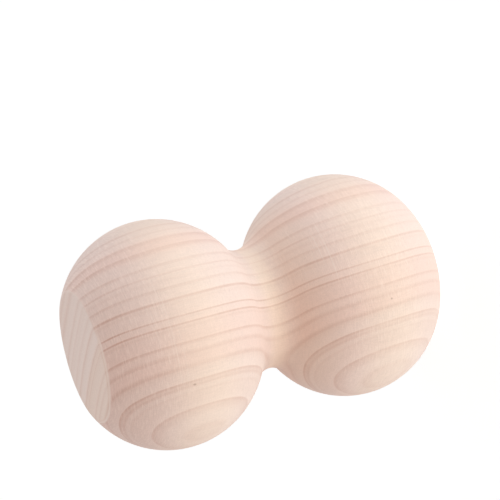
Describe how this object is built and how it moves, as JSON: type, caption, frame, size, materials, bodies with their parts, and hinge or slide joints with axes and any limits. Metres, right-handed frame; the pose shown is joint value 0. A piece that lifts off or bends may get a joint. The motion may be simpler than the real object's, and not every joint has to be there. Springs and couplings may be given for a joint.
{
  "type": "wooden peanut massage ball",
  "caption": "Turned wooden massage ball shaped like a peanut: two squat round lobes, a waist between them that straddles the spine, and a flat on each end.",
  "frame": {"origin": "centre of the flat end that the ball stands on", "axes": "+Z along the lathe axis, up through both lobes to the other flat end; the ball is round about Z, so X and Y matter only to the grain"},
  "size_m": [0.07, 0.07, 0.1111],
  "materials": {
    "turned_wood": "bare pale softwood, turned and sanded, unvarnished"
  },
  "bodies": {
    "root": {"turned_body": "turned_wood"}
  },
  "joints": []
}
